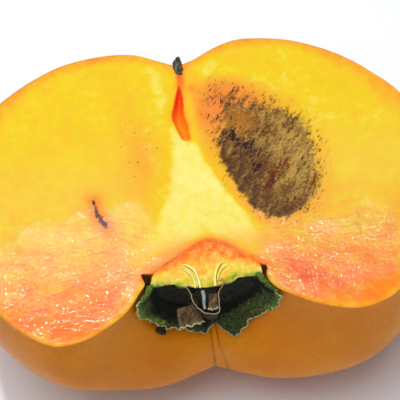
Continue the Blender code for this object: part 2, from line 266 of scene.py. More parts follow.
class Graph:
    """A material's node graph, built from expressions whose arguments are values or sockets."""

    def __init__(self, name):
        self.material = bpy.data.materials.new(name)
        self.material.use_nodes = True
        self.nodes, self.links = self.material.node_tree.nodes, self.material.node_tree.links
        self.shader = self.nodes["Principled BSDF"]

    def put(self, socket, value):
        if isinstance(value, bpy.types.NodeSocket):
            self.links.new(value, socket)
        else:
            socket.default_value = value

    def set(self, **values):
        for key, value in values.items():
            self.put(self.shader.inputs[key.replace("_", " ")], value)

    def attribute(self, name, output="Fac"):
        node = self.nodes.new("ShaderNodeAttribute")
        node.attribute_name = name
        return node.outputs[output]

    def math(self, operation, a, b=0.0, clamp=False):
        node = self.nodes.new("ShaderNodeMath")
        node.operation, node.use_clamp = operation, clamp
        self.put(node.inputs[0], a)
        self.put(node.inputs[1], b)
        return node.outputs[0]

    def remap(self, value, low, high, to_low=0.0, to_high=1.0, smooth=True):
        node = self.nodes.new("ShaderNodeMapRange")
        node.interpolation_type = "SMOOTHSTEP" if smooth else "LINEAR"
        for i, part in enumerate((value, low, high, to_low, to_high)):
            self.put(node.inputs[i], part)
        return node.outputs[0]

    def mix(self, factor, a, b, blend="MIX"):
        node = self.nodes.new("ShaderNodeMix")
        node.data_type, node.blend_type = "RGBA", blend
        self.put(node.inputs[0], factor)
        self.put(node.inputs[6], linear(a) if isinstance(a, str) else a)
        self.put(node.inputs[7], linear(b) if isinstance(b, str) else b)
        return node.outputs[2]

    def ramp(self, value, stops):
        node = self.nodes.new("ShaderNodeValToRGB")
        elements = node.color_ramp.elements
        while len(elements) < len(stops):
            elements.new(0.5)
        for element, (position, color) in zip(elements, stops):
            element.position, element.color = position, linear(color)
        self.put(node.inputs[0], value)
        return node.outputs[0]

    def mapped(self, vector, lengths=(1, 1, 1), turn=0.0):
        """Coordinates stretched by these lengths, the first of them along a direction turned from X."""
        node = self.nodes.new("ShaderNodeMapping")
        node.vector_type = "TEXTURE"
        self.put(node.inputs["Vector"], vector)
        node.inputs["Rotation"].default_value = (0, 0, turn)
        node.inputs["Scale"].default_value = lengths
        return node.outputs[0]

    def noise(self, vector, scale, detail=3.0, roughness=0.55, distortion=0.0):
        node = self.nodes.new("ShaderNodeTexNoise")
        self.put(node.inputs["Vector"], vector)
        node.inputs["Scale"].default_value = scale
        node.inputs["Detail"].default_value = detail
        node.inputs["Roughness"].default_value = roughness
        node.inputs["Distortion"].default_value = distortion
        return node.outputs[0]

    def cells(self, vector, scale, feature="F1", randomness=1.0):
        node = self.nodes.new("ShaderNodeTexVoronoi")
        node.feature = feature
        self.put(node.inputs["Vector"], vector)
        node.inputs["Scale"].default_value = scale
        node.inputs["Randomness"].default_value = randomness
        return node.outputs["Distance"]

    def bump(self, height, strength, distance, below=None):
        node = self.nodes.new("ShaderNodeBump")
        node.inputs["Distance"].default_value = distance * MM
        self.put(node.inputs["Strength"], strength)
        self.put(node.inputs["Height"], height)
        if below is not None:
            self.links.new(below, node.inputs["Normal"])
        return node.outputs[0]


def flesh_material():
    g = Graph("cut_flesh")
    spot = g.attribute("spot", "Vector")
    broad = g.noise(spot, 0.12, 3)
    mottle = g.noise(spot, 0.55, 4, 0.6)
    fibre = g.noise(g.attribute("flow", "Vector"), 1.0, 4, 0.6)
    tone = g.attribute("tone")
    tone = g.math("ADD", tone, g.remap(broad, 0.3, 0.7, -0.05, 0.05))
    tone = g.math("ADD", tone, g.remap(mottle, 0.3, 0.7, -0.06, 0.06))
    tone = g.math("ADD", tone, g.math("MULTIPLY", g.remap(fibre, 0.3, 0.7, -0.07, 0.07), g.attribute("fibrous")))
    color = g.ramp(tone, FLESH_TONES)
    color = g.mix(g.attribute("peach"), color, "f9a766")
    color = g.mix(g.attribute("milky"), color, "f3d98a")

    # The bruise: a salmon halo, brown and grey-olive mottling inside, and dark flecks that lean right.
    color = g.mix(g.attribute("halo"), color, "f28a45")
    lean = g.mapped(spot, (1.7, 0.75, 1), radians(55))
    grainy = g.noise(spot, 1.9, 4, 0.7)
    patchy = g.noise(lean, 0.55, 4, 0.65)
    edge = g.math("ADD", g.attribute("bruise"), g.remap(patchy, 0.3, 0.7, -0.22, 0.22))
    edge = g.math("ADD", edge, g.remap(grainy, 0.3, 0.7, -0.12, 0.12))
    soot = g.math("ADD", g.attribute("soot"), g.remap(patchy, 0.3, 0.7, -0.3, 0.3))
    soot = g.math("ADD", soot, g.remap(grainy, 0.3, 0.7, -0.25, 0.25))
    brown = g.ramp(soot, BRUISE_TONES)
    brown = g.mix(g.attribute("plum"), brown, "643c3a")
    brown = g.mix(g.attribute("ochre"), brown, "b87a1e")
    color = g.mix(g.remap(edge, 0.25, 0.75, 0, 0.95), color, brown)
    streak = g.noise(g.mapped(spot, (1.3, 0.42, 1), radians(58)), 1.0, 2, 0.5)
    flecks = g.math("MULTIPLY", g.remap(streak, 0.6, 0.665), g.attribute("flecked"))
    color = g.mix(g.math("MULTIPLY", flecks, 0.9), color, "351310")
    ragged = g.noise(g.mapped(spot, (1.2, 0.6, 1), radians(50)), 1.1, 5, 0.75)
    blot = g.math("ADD", g.attribute("blot"), g.remap(ragged, 0.3, 0.7, -0.75, 0.75))
    blot = g.math("MULTIPLY", g.remap(blot, 0.55, 0.85, 0, 0.95), g.remap(g.attribute("blot"), 0.08, 0.3))
    color = g.mix(blot, color, "26101b")
    wine = g.math("ADD", g.attribute("wine"), g.remap(ragged, 0.3, 0.7, -0.8, 0.8))
    wine = g.math("MULTIPLY", g.remap(wine, 0.5, 0.9, 0, 0.85), g.remap(g.attribute("wine"), 0.08, 0.3))
    color = g.mix(wine, color, "6a2012")

    # The faint blush on the left, with its dark pores, and the scar.
    color = g.mix(g.attribute("blush"), color, "f6934a")
    pores = g.math("LESS_THAN", g.cells(spot, 0.8), 0.14)
    pores = g.math("MULTIPLY", pores, g.remap(g.attribute("pores"), 0.2, 0.9))
    color = g.mix(g.math("MULTIPLY", pores, 0.8), color, "a2460f")
    scar = g.math("ADD", g.attribute("scar"), g.remap(g.noise(spot, 1.6, 4, 0.7), 0.3, 0.7, -0.35, 0.35))
    color = g.mix(g.attribute("scar_halo"), color, "f2743f")
    color = g.mix(g.remap(scar, 0.45, 0.8, 0, 0.9), color, "4a1710")
    color = g.mix(g.attribute("slit"), color, g.ramp(g.attribute("slit_height"), SLIT_TONES))
    color = g.mix(1.0, color, (0.9, 0.85, 0.6, 1), "MULTIPLY")

    wet = g.attribute("wet")
    grain = g.noise(g.attribute("flow", "Vector"), 1.6, 3, 0.5)
    pebble = g.noise(spot, 1.5, 2, 0.5)
    normal = g.bump(mottle, 0.2, 0.3)
    normal = g.bump(grain, 0.3, 0.1, normal)
    film = g.bump(pebble, g.remap(wet, 0, 1, 0.1, 1.0), 0.26, normal)
    g.set(
        Base_Color=color, Roughness=0.55, Normal=normal, Coat_Weight=g.remap(wet, 0.1, 0.9, 0.03, 1.0),
        Coat_Roughness=0.05, Subsurface_Weight=0.3, Subsurface_Radius=(1.0, 0.35, 0.08), Subsurface_Scale=0.0014,
        Specular_IOR_Level=0.1,
    )
    g.put(g.shader.inputs["Coat Normal"], film)
    return g.material


FLESH_TONES = [
    (0.0, "f6f1a2"), (0.14, "f4e87c"), (0.28, "f0d520"), (0.42, "f2c82c"), (0.57, "f6b133"), (0.72, "f98f22"),
    (0.87, "fb7418"), (1.0, "f9561a"),
]
BRUISE_TONES = [(0.0, "bf9a55"), (0.3, "a0824a"), (0.5, "83623a"), (0.7, "664324"), (1.0, "38201a")]
SLIT_TONES = [(0.0, "ff9d22"), (0.4, "ff8420"), (0.75, "fb5a1c"), (1.0, "ee4218")]


def skin_material():
    g = Graph("skin")
    spot = g.attribute("spot", "Vector")
    broad = g.noise(spot, 0.07, 3)
    fine = g.noise(spot, 1.3, 4, 0.6)
    color = g.ramp(broad, [(0.3, "d27a00"), (0.5, "dd8600"), (0.7, "e69103")])
    color = g.mix(g.remap(fine, 0.35, 0.7, 0, 0.35), color, "c96a02")
    specks = g.math("LESS_THAN", g.cells(spot, 0.33), 0.05)
    color = g.mix(g.math("MULTIPLY", specks, 0.7), color, "6b3508")
    # Thin dark lines along the crease below the calyx: painted shade in its folds.
    color = g.mix(g.attribute("crease_shade"), color, "7c2d06")
    # Dark stains on the skin, and painted shade in the notches between the calyx disc and the flesh.
    color = g.mix(g.math("MULTIPLY", g.attribute("stain_and_shade"), g.remap(fine, 0.3, 0.55, 0.55, 1)), color, "2c1e0c")
    normal = g.bump(fine, 0.25, 0.08)
    g.set(
        Base_Color=color, Roughness=0.4, Normal=normal, Coat_Weight=0.03, Coat_Roughness=0.2,
        Specular_IOR_Level=0.1,
        Subsurface_Weight=0.3, Subsurface_Radius=(1.0, 0.35, 0.05), Subsurface_Scale=0.002,
    )
    return g.material


# ---------------------------------------------------------------- the fruit
def loop_polygon(points, steps=6):
    return smooth_curve(points, steps, closed=True)


def signed_depth(points, loop):
    """How far inside a closed loop each point lies, in mm; negative outside."""
    gap = distance_to_loop(points, loop)
    return np.where(inside_loop(points, loop), gap, -gap)


CORE_LEFT = [(17, -2.6), (9, -2.7), (-1, -4.8), (-7.4, -8.4), (-12.4, -15.5)]
CORE_RIGHT = [(11.5, 1.2), (6.1, 2.7), (0.7, 5.1), (-4.9, 8.4), (-10.2, 12.4)]
BRUISE = [
    (4.6, 20.8), (8.0, 21.3), (12.3, 19.6), (18.9, 15), (22.8, 9.3), (23, 1.1), (21.3, -4.7), (17.7, -7.2),
    (13.3, -7.6), (10.1, -5.4), (7.4, -0.6), (5.2, 5.8), (4.2, 13.2),
]
SEAM = [(-9.7, -15.4), (-6.4, -13.8), (-1.8, -11.3), (1.2, -10.4), (4.2, -11.4), (7.3, -14), (10.3, -16.2)]


def blob(points, centre, along, across, turn=0.0):
    """A soft elliptical spot, 1 at its centre."""
    x, y = (points - centre).T
    u = x * cos(turn) + y * sin(turn)
    v = -x * sin(turn) + y * cos(turn)
    return np.exp(-((u / along) ** 2) - (v / across) ** 2)


def line_distance(points, line):
    best = np.full(len(points), 1e9)
    line = np.asarray(line, float)
    for start, end in zip(line, line[1:]):
        along = end - start
        t = np.clip(((points - start) @ along) / (along**2).sum(), 0, 1)
        best = np.minimum(best, np.hypot(*(points - start - t[:, None] * along).T))
    return best


def flesh_fields(p, edge, slit_loop):
    """The shading fields of the cut face, by place: see flesh_material."""
    x, y = p.T
    left, right = x < 0, x >= 0
    core_left = np.interp(-y, [-a for a, _ in CORE_LEFT], [b for _, b in CORE_LEFT])
    core_right = np.interp(-y, [-a for a, _ in CORE_RIGHT], [b for _, b in CORE_RIGHT])
    blur = 1 + 3.2 * smooth_step(-y, 2, 11)
    core = smooth_step(x, core_left - 0.9 * blur, core_left + 1.2 * blur)
    core *= 1 - smooth_step(x, core_right - 0.7 * blur, core_right + 0.6 * blur)
    core *= 1 - 0.8 * smooth_step(-y, 9.5, 14.5)
    above = np.interp(x, [-5, -3, -1.5, 0, 1.5, 3], [20, 17, 13.5, 10.5, 11.5, 12.5])
    core *= 1 - smooth_step(y - above, -2.2, 0.6)
    seam = line_distance(p, SEAM)
    below_seam = np.interp(x, [a for a, _ in SEAM], [b for _, b in SEAM])

    tone = 0.33 + 0.06 * smooth_step(-y, -16, 2)
    tone += 0.22 * smooth_step(-y, 0, 17)
    tone += 0.11 * smooth_step(-y, 10, 24)
    rim = (1 - smooth_step(edge, 0.2, 2.4 + 2.6 * smooth_step(np.abs(x), 22, 36))) * smooth_step(y, -16, -4)
    tone = np.maximum(tone, 0.6 * rim + tone * (1 - rim))
    for centre, along, across, turn, strength in (
        ((-15, -18), 5.5, 2.6, 0.85, 0.17), ((-24, -23), 8, 3, 0.2, 0.04), ((-14.5, -9), 2.5, 5, 0.3, 0.1),
        ((15.6, -17), 5, 1.8, -0.8, 0.2), ((23, -19.5), 8, 2.6, -0.2, 0.06), ((1.2, 21.5), 2, 1.5, 0, 0.1),
        ((3.3, 15.5), 1.3, 5, 0.1, 0.26), ((2.2, 21.5), 1.5, 3, 0, 0.1), ((-35, 12), 4, 9, 0.6, 0.05),
    ):
        tone += strength * blob(p, np.array(centre), along, across, turn)
    for centre, along, across, turn, strength in (
        ((-4, 21.5), 1.7, 5.5, 0.15, 0.13), ((4.6, 24.8), 1.4, 2.6, 0, 0.12), ((-6, 4), 1.4, 7, 0.15, 0.15),
        ((13.5, 22), 7, 2.5, -0.5, 0.06), ((28, 8), 8, 8, 0, 0.05),
    ):
        tone -= strength * blob(p, np.array(centre), along, across, turn)
    # Along the lower edges the flesh is golden orange, outside the deep orange parts.
    lower_edge = np.exp(-((edge / 1.1) ** 2)) * smooth_step(-y, 8, 14) * (np.abs(x) > 9.8)
    tone = tone * (1 - lower_edge) + 0.6 * lower_edge
    tone = tone * (1 - core) + (0.07 + 0.06 * smooth_step(-y, 3, 9)) * core
    # Beside the slit and under the style the flesh is deeper orange.
    slit_gap = distance_to_loop(p, slit_loop)
    near = np.exp(-slit_gap / 0.7) * smooth_step(y, 10.5, 15)
    tone += 0.25 * near
    tone += 0.6 * blob(p, np.array((0.1, 24.3)), 0.8, 2.1)
    tone += 0.1 * blob(p, np.array((2.8, 15)), 1.2, 5)

    peach = 0.55 * smooth_step(-y, 6.5, 11.5) * core
    peach = np.maximum(peach, 0.7 * blob(p, np.array((-14.5, -12.5)), 3.8, 2.6, 0.5))
    peach = np.maximum(peach, 0.7 * blob(p, np.array((11.5, -11.5)), 3.4, 2.8, -0.4))
    seam_red = np.exp(-((seam / 1.5) ** 3)) * (0.6 + 0.4 * bell(x - 1, 5))
    tone = tone * (1 - seam_red) + 0.96 * seam_red
    pink = 0.85 * np.exp(-(((seam - 1.5) / 1.5) ** 2)) * bell(x + 6, 5) * (y > below_seam)
    peach = np.maximum(peach * (1 - seam_red), pink)

    milky = 0.2 * bell(y - 1, 9) * smooth_step(np.abs(x), 6, 14) * (1 - core)
    bruise_depth = signed_depth(p, loop_polygon(BRUISE))
    # Its edge is sharp towards the core, and fades out towards the style and the rim.
    fade = 1.9 + 8.3 * smooth_step(y - 0.35 * x, 4, 15) + 3 * smooth_step(x, 16, 24)
    bruise = np.clip(0.5 + (bruise_depth - 0.25 * fade) / fade, 0, 1)
    halo = smooth_step(bruise_depth, -3.2, 0.6) * (0.35 + 0.6 * blob(p, np.array((7, 17.5)), 9, 8)) * (1 - core)
    halo *= 1 - 0.5 * blob(p, np.array((20, 12)), 5, 9)
    soot = 0.5 + 0.35 * blob(p, np.array((9, 0)), 3.2, 7, 0.55) + 0.2 * blob(p, np.array((11, 6)), 5, 4)
    soot += 0.22 * blob(p, np.array((15.5, -6)), 6, 2, 0.1) - 0.32 * blob(p, np.array((19, 5)), 5, 7, 0.3)
    plum = 0.5 * blob(p, np.array((11.4, 4.6)), 3, 2.6, 0.8) + 0.25 * blob(p, np.array((13.5, -3.5)), 3, 2.2)
    ochre = 0.75 * blob(p, np.array((9.6, 13.2)), 2.6, 2.8, 1.2) * (1 - smooth_step(-y, -11, -8.5))
    flecked = smooth_step(bruise_depth, -2.2, 0.8) * (1 - core)
    blot = sum(
        blob(p, np.array(c), a, b, 0.75)
        for c, a, b in (
            ((7.3, 10.9), 2.2, 0.8), ((8.4, 9.7), 0.9, 0.9), ((10.3, 8.1), 2.1, 1.2), ((11.6, 5.9), 1.2, 0.6),
            ((11.7, 3.5), 1.5, 1.1), ((14.3, 0.9), 1.2, 0.6), ((13.5, -0.5), 1.2, 0.5),
        )
    )
    wine = sum(
        blob(p, np.array(c), a, b, 1.0)
        for c, a, b in (((14.5, 2.4), 2.6, 0.7), ((17, 3.5), 1.4, 1), ((13.3, 0), 2, 0.9), ((21, -0.6), 2.6, 0.9))
    )
    blush = 0.5 * blob(p, np.array((-8.3, 9.5)), 3.2, 7.5, 0.2) + 0.2 * blob(p, np.array((-11, 3)), 3.5, 4)
    pores = blob(p, np.array((-8.3, 9)), 4.2, 8, 0.2)
    scar_line = line_distance(p, [(-17.5, 0.6), (-17.1, -1.8), (-16.3, -3.6), (-15.8, -4.6)])
    scar_width = np.interp(-y, [-0.6, 1.8, 3.6, 4.6], [0.25, 0.4, 0.75, 0.5])
    wet = np.clip(
        1.1 * blob(p, np.array((-21.5, -14)), 11, 9, 0.2) + 1.1 * blob(p, np.array((23, -16.5)), 12, 7, 0.15)
        + 0.8 * blob(p, np.array((-12, -2)), 3, 1.6) + 0.35 * bell(y + 10, 10) * (1 - core), 0, 1,
    )
    return {
        "tone": tone, "peach": np.clip(peach, 0, 1), "milky": milky, "bruise": bruise, "halo": halo,
        "blot": blot, "wine": wine, "blush": blush, "pores": pores, "soot": soot, "plum": plum,
        "ochre": ochre, "flecked": flecked,
        "scar": np.clip(1 - scar_line / (2 * scar_width), 0, 1), "scar_halo": 0.75 * np.exp(-((scar_line / 1.7) ** 2)),
        "wet": wet, "fibrous": (1 - core) * smooth_step(-y, -12, 6), "core": core,
        "slit": smooth_step(signed_depth(p, slit_loop), -0.15, 0.1), "slit_height": smooth_step(y, 12, 22),
    }


def flow_coordinates(p):
    """Coordinates that run along and across the fibres, which spread from the calyx end of the core."""
    start = np.array([0, -9.0])
    x, y = (p - start).T
    return np.stack([np.hypot(x, y) * 0.22, np.arctan2(x, y) * 14, np.zeros(len(p))], axis=1)


SLIT_DEPTH = 2.4


def cut_relief(p, edge, slit_loop):
    """Height of the cut face above its plane, in mm."""
    x, y = p.T
    gap = distance_to_loop(p, slit_loop)
    inside = inside_loop(p, slit_loop)
    height = -SLIT_DEPTH * (1 - np.exp(-gap / 0.5)) * inside
    height += -0.25 * np.exp(-gap / 0.8) * ~inside
    for i, (angle, wave, size) in enumerate(((0.3, 9, 0.09), (1.2, 6.3, 0.07), (2.2, 4.1, 0.05), (2.9, 2.7, 0.03))):
        height += 0.4 * size * np.sin((x * cos(angle) + y * sin(angle)) * 2 * pi / wave + 1.7 * i)
    return height * smooth_step(edge, 0, 1.2)


def half_solid(grid, spacing, fine=(), inner_loops=(), relief=None):
    """A solid cut along its axis: a rounded side from a grid of points, closed by a triangulated cut face.

    Returns the points, the faces, how many of these are the side's, and the border's point numbers.
    """
    points = [grid[0, 0], grid[-1, 0], *grid[1:-1].reshape(-1, 3)]
    rows, columns = grid.shape[0] - 2, grid.shape[1]
    index = np.arange(2, 2 + rows * columns).reshape(rows, columns)
    faces = []
    for j in range(columns - 1):
        faces.append((index[0, j + 1], index[0, j], 0))
        faces.append((index[-1, j], index[-1, j + 1], 1))
    a, b, c, d = index[:-1, :-1], index[1:, :-1], index[1:, 1:], index[:-1, 1:]
    faces += [tuple(f) for f in np.stack([d, c, b, a], axis=-1).reshape(-1, 4)]
    side_faces = len(faces)
    border = [0, *index[:, 0], 1, *index[::-1, -1]]
    loop = np.array([points[i][:2] for i in border])
    flat, triangles, names = fill_loop(loop, spacing, fine, inner_loops)
    heights = relief(flat, distance_to_loop(flat, loop)) if relief else np.zeros(len(flat))
    renamed = []
    for i, name in enumerate(names):
        if 0 <= name < len(border):
            renamed.append(border[name])
        else:
            renamed.append(len(points))
            points.append((*flat[i], heights[i]))
    faces += [tuple(renamed[i] for i in f) for f in triangles]
    return np.array(points), faces, side_faces, border


def build_fruit():
    slit_loop = loop_polygon(SLIT, 5)
    fine = (((-0.5, 16.5), 8, 0.24), ((0, -13), 12, 0.3), ((13, 6.5), 13.5, 0.4), ((-16.5, -2), 4, 0.3))
    relief = lambda flat, edge: cut_relief(flat, edge, slit_loop)
    points, faces, side_faces, border = half_solid(surface, 0.55, fine, [slit_loop], relief)
    side_points = 2 + (surface.shape[0] - 2) * surface.shape[1]
    on_cut = np.arange(len(points)) >= side_points
    on_cut[border] = True
    flat = points[on_cut, :2]
    fields = {}
    edge = distance_to_loop(flat, points[border, :2])
    for key, values in flesh_fields(flat, edge, slit_loop).items():
        fields[key] = np.zeros(len(points))
        fields[key][on_cut] = values
    x, y, z = points.T
    # Two thin dark lines along the crease below the calyx, painted shade in its folds.
    behind = smooth_step(-y, 12, 20) * ~on_cut
    lines = np.exp(-(((x + 0.1) / 0.13) ** 2)) + 0.8 * np.exp(-(((x - 0.9 - 0.11 * (-12 - z)) / 0.13) ** 2))
    fields["crease_shade"] = np.clip(lines * behind * smooth_step(-z, 9, 13), 0, 1)
    # Dark marks on the skin: the first four are stains; the last two darken the notches between the calyx disc and the
    # flesh, painted shade in that gap.
    stains_and_notch_shade = (
        ((21, -24, -14), 1.6), ((17, -23.5, -11), 0.7), ((-24, -25, -18), 0.8), ((36, -16, -14), 1.1),
        ((-10.2, -16.2, -1.2), 1.5), ((10.7, -16.8, -1.1), 1.1),
    )
    fields["stain_and_shade"] = np.clip(
        sum(np.exp(-(((points - np.array(c)) ** 2).sum(axis=1) / r**2) ** 2) for c, r in stains_and_notch_shade), 0, 1
    )
    materials = [skin_material(), flesh_material()]
    which = np.arange(len(faces)) >= side_faces
    fruit = make_piece("persimmon_fruit", points, faces, materials, ["fruit_half"], fields, which)
    flow = fruit.data.attributes.new("flow", "FLOAT_VECTOR", "POINT")
    flow.data.foreach_set("vector", flow_coordinates(points[:, :2]).astype(np.float32).ravel())


build_fruit()


# ---------------------------------------------------------------- calyx materials
def calyx_flesh_material():
    """The cut face of the calyx disc: orange by the seam, lemon inside, lime towards its lower edge."""
    g = Graph("calyx_flesh")
    spot = g.attribute("spot", "Vector")
    wander = g.remap(g.noise(spot, 0.7, 4, 0.6), 0.3, 0.7, -0.14, 0.14)
    depth = g.math("ADD", g.attribute("depth"), wander)
    color = g.ramp(depth, CALYX_TONES)
    patch = g.remap(g.noise(spot, 0.42, 3, 0.5), 0.5, 0.62, 0, 0.75)
    color = g.mix(g.math("MULTIPLY", patch, g.attribute("middle")), color, "e8951e")
    streaks = g.remap(g.noise(g.mapped(spot, (2, 0.8, 1), radians(90)), 1.1, 3, 0.6), 0.5, 0.75, 0, 0.3)
    color = g.mix(streaks, color, "f8ee9a")
    color = g.mix(g.remap(g.attribute("lip"), 0.3, 1), color, "3f4a12")
    normal = g.bump(g.noise(spot, 1.2, 4, 0.6), 0.6, 0.3)
    g.set(
        Base_Color=color, Roughness=0.5, Normal=normal, Coat_Weight=0.06, Coat_Roughness=0.2,
        Specular_IOR_Level=0.15, Subsurface_Weight=0.15, Subsurface_Radius=(1.0, 0.5, 0.1), Subsurface_Scale=0.001,
    )
    return g.material


CALYX_TONES = [(0.0, "ee6a18"), (0.14, "ee8624"), (0.34, "ecb43a"), (0.62, "e4c83e"), (0.86, "acb230"), (1.0, "5f761e")]


def dry_material(name, tones, scale, lean=0.0, roughness=0.8, edge_tone=None, depth=0.2):
    """A dry, fibrous surface: mottled in its tones, with a worn paler edge where edge_tone is given."""
    g = Graph(name)
    spot = g.attribute("spot", "Vector")
    fibres = g.mapped(spot, (2.4, 1, 1), radians(90) + lean)
    tone = g.noise(fibres, scale, 5, 0.65)
    color = g.ramp(tone, tones)
    fuzz = g.noise(spot, scale * 2.6, 3, 0.7)
    if edge_tone:
        ragged = g.math("ADD", g.attribute("rim"), g.remap(fuzz, 0.3, 0.7, -0.3, 0.3))
        color = g.mix(g.remap(ragged, 0.55, 0.8), color, edge_tone)
    normal = g.bump(tone, 0.9, depth)
    normal = g.bump(fuzz, 0.7, depth * 0.5, normal)
    g.set(Base_Color=color, Roughness=roughness, Specular_IOR_Level=0.25, Normal=normal)
    return g.material


def sepal_material():
    g = Graph("sepal")
    spot = g.attribute("spot", "Vector")
    fine = g.noise(spot, 2.6, 5, 0.7)
    dark = g.ramp(fine, [(0.3, "050603"), (0.5, "0f1107"), (0.65, "20230c"), (0.8, "333016")])
    green = g.ramp(fine, [(0.3, "151c0a"), (0.46, "303b15"), (0.58, "4c5a26"), (0.75, "7c8650")])
    shown = g.math("ADD", g.attribute("green"), g.remap(g.noise(spot, 0.9, 4, 0.6), 0.3, 0.7, -0.3, 0.3))
    color = g.mix(g.remap(shown, 0.3, 0.8), dark, green)
    fresh = g.math("MULTIPLY", g.attribute("fresh"), g.remap(fine, 0.25, 0.6))
    color = g.mix(fresh, color, "6f8f2e")
    rim = g.math("ADD", g.attribute("rim"), g.remap(fine, 0.3, 0.7, -0.35, 0.35))
    color = g.mix(g.remap(rim, 0.55, 0.85), color, "cdc08c")
    normal = g.bump(fine, 1.0, 0.35)
    normal = g.bump(g.noise(spot, 6, 3, 0.6), 0.8, 0.1, normal)
    g.set(Base_Color=color, Roughness=0.75, Specular_IOR_Level=0.25, Normal=normal)
    return g.material


# ---------------------------------------------------------------- calyx shapes
DISC_RIGHT = [
    (0, -10.1), (2.2, -10.3), (4.4, -11.2), (7.5, -13.7), (9.5, -15.4), (9.9, -16.8), (9.7, -17.7), (8.7, -17.9),
    (6, -17.8), (4.7, -18.5), (2.6, -19), (0, -18.9),
]
DISC_LEFT = [
    (0, -10.1), (1.8, -10.9), (4.2, -12.2), (6.5, -13.5), (8.4, -14.9), (9.1, -16.4), (9.2, -17.4), (8.05, -17.8),
    (5.4, -17.5), (4.6, -18.3), (1.8, -18.7), (0, -18.9),
]
# Rim of the sepals: angle round the axis in degrees, distance from it and height along it.
SEPAL_RIM_RIGHT = [
    (0, 12.5, -22.3), (-10, 13, -22), (-20, 13.4, -21.6), (-27, 12.9, -21.4), (-36, 12.2, -21.2), (-46, 12, -21.3),
    (-57, 12.1, -21.6), (-66, 12.7, -22.1), (-73, 13.3, -22.4), (-78, 12.3, -21.6), (-82, 11.4, -20.7), (-85, 11, -20.2),
]
SEPAL_RIM_LEFT = [
    (-86, 11, -20.3), (-90, 11.4, -20.8), (-95, 12.1, -21.5), (-104, 11.6, -21.4), (-113, 11.4, -21.2), (-125, 11.1, -21.3),
    (-137, 11.3, -21.6), (-148, 10.9, -21), (-157, 11.2, -21.3), (-164, 12.2, -21.7), (-172, 12.1, -21.2),
    (-180, 11.9, -20.7),
]
SEPAL_BASE = (9.35, -17.1)


def rough(points, scale, size):
    """Small bumps for an uneven surface, from noise at each point, in mm."""
    return np.array([noise_vector(Vector(p) * scale) for p in points]) * size


def thick_sheet(middle, thickness):
    """A closed sheet round a grid of points: its points, faces, grid coordinates and which side each is on."""
    m, n = middle.shape[:2]
    along, across = np.gradient(middle, axis=0), np.gradient(middle, axis=1)
    normal = np.cross(along, across)
    normal /= np.maximum(np.linalg.norm(normal, axis=2, keepdims=True), 1e-9)
    half = np.broadcast_to(thickness, (m, n))[..., None] / 2
    points = np.vstack([(middle + normal * half).reshape(-1, 3), (middle - normal * half).reshape(-1, 3)])
    top = np.arange(m * n).reshape(m, n)
    low = top + m * n
    quads = np.stack([top[:-1, :-1], top[1:, :-1], top[1:, 1:], top[:-1, 1:]], axis=-1).reshape(-1, 4)
    faces = [tuple(q) for q in quads] + [tuple(q[::-1] + m * n) for q in quads]
    ring = [*top[0, :-1], *top[:-1, -1], *top[-1, :0:-1], *top[:0:-1, 0]]
    for a, b in zip(ring, ring[1:] + ring[:1]):
        faces.append((a, b, b + m * n, a + m * n))
    u, v = np.meshgrid(np.linspace(0, 1, m), np.linspace(0, 1, n), indexing="ij")
    return points, faces, np.tile(u.ravel(), 2), np.tile(v.ravel(), 2), np.repeat([1, 0], m * n)


def tube(line, radii, sides=10):
    """A closed round cord along a line of points, as points and faces."""
    line = np.asarray(line, float)
    tangent = np.gradient(line, axis=0)
    tangent /= np.linalg.norm(tangent, axis=1, keepdims=True)
    up = np.array([0.1, 0.2, 1.0])
    side = np.cross(tangent, up)
    side /= np.linalg.norm(side, axis=1, keepdims=True)
    over = np.cross(side, tangent)
    turn = np.arange(sides) * 2 * pi / sides
    radii = np.broadcast_to(radii, len(line))[:, None, None]
    rings = line[:, None] + radii * (
        np.cos(turn)[None, :, None] * side[:, None] + np.sin(turn)[None, :, None] * over[:, None]
    )
    points = [*rings.reshape(-1, 3)]
    faces = []
    for i in range(len(line) - 1):
        for j in range(sides):
            k = (j + 1) % sides
            faces.append((i * sides + j, i * sides + k, (i + 1) * sides + k, (i + 1) * sides + j))
    faces.append(tuple(reversed(range(sides))))
    faces.append(tuple(range((len(line) - 1) * sides, len(line) * sides)))
    return np.array(points), faces


def merged(parts):
    """Several (points, faces) pairs as one."""
    points, faces = [], []
    for part_points, part_faces in parts:
        start = sum(len(p) for p in points)
        points.append(np.asarray(part_points, float))
        faces += [tuple(i + start for i in f) for f in part_faces]
    return np.vstack(points), faces


def build_calyx_disc():
    grid = lobed_surface(DISC_RIGHT, DISC_LEFT, 6, 96)

    def relief(flat, edge):
        bumps = rough([(*p, 0) for p in flat], 0.55, 0.35) + rough([(*p, 5) for p in flat], 1.6, 0.12)
        return 0.06 + bumps * smooth_step(edge, 0, 0.8) - 0.5 * (1 - smooth_step(flat[:, 1], -18.6, -16.6))

    points, faces, side_faces, border = half_solid(grid, 0.25, relief=relief)
    side_points = len(points) - (len(points) - 2 - (grid.shape[0] - 2) * grid.shape[1])
    under = np.arange(len(points)) < side_points
    points[under] += rough(points[under], 0.8, 0.25)[:, None] * np.array([0, -1, 0])
    points[border, 2] = 0.05
    x, y = points[:, 0], points[:, 1]
    seam = np.interp(x, [a for a, _ in SEAM], [b for _, b in SEAM])
    floor = np.interp(x, [-9.2, -5, 0, 5, 9.7], [-17.6, -18, -18.9, -18.4, -17.8])
    depth = (seam - y) / np.maximum(seam - floor, 0.5)
    depth = depth * (0.78 + 0.22 * smooth_step(np.abs(x), 2, 6)) + 0.1 * smooth_step(np.abs(x), 5, 9)
    fields = {
        "depth": np.clip(depth, 0, 1), "middle": np.exp(-((x / 5.5) ** 2)) * smooth_step(-y, 12.5, 15),
        "lip": np.clip(1 - (y - floor) / 0.6, 0, 1),
    }
    under_tones = [(0.3, "050503"), (0.5, "15130a"), (0.65, "2a2a10"), (0.85, "4a4a20")]
    materials = [dry_material("calyx_underside", under_tones, 1.2), calyx_flesh_material()]
    which = np.arange(len(faces)) >= side_faces
    make_piece("calyx_disc_cut", points, faces, materials, ["calyx_disc"], fields, which)


